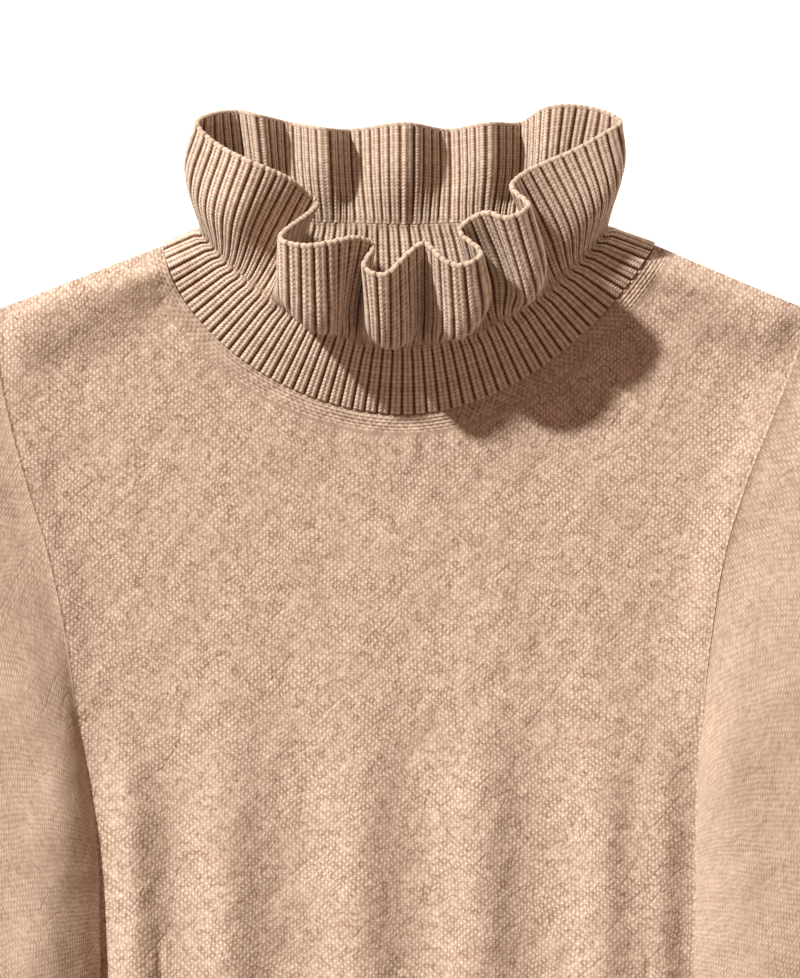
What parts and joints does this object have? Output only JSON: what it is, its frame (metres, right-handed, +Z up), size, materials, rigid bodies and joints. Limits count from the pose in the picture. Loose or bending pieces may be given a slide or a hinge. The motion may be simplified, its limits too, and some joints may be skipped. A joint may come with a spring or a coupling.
{
  "type": "sweater dress",
  "caption": "Plain-knit dress with long sleeves, a ribbed neckband and a waved rib ruffle at the neck, laid flat on its back",
  "frame": {"origin": "centre of the floor plan, on the surface that the dress lies on", "axes": "+Z up, away from the surface; +Y from hem to neck; +X to the right as the laid dress is seen from above"},
  "size_m": [0.6492, 0.9464, 0.0739],
  "materials": {
    "jersey": "camel plain knit, matt with a soft nap",
    "rib": "camel rib knit, matt"
  },
  "bodies": {
    "root": {"front": "jersey", "back": "jersey", "sleeve_left": "jersey", "sleeve_right": "jersey", "neckband": "rib", "ruffle": "rib"}
  },
  "joints": []
}
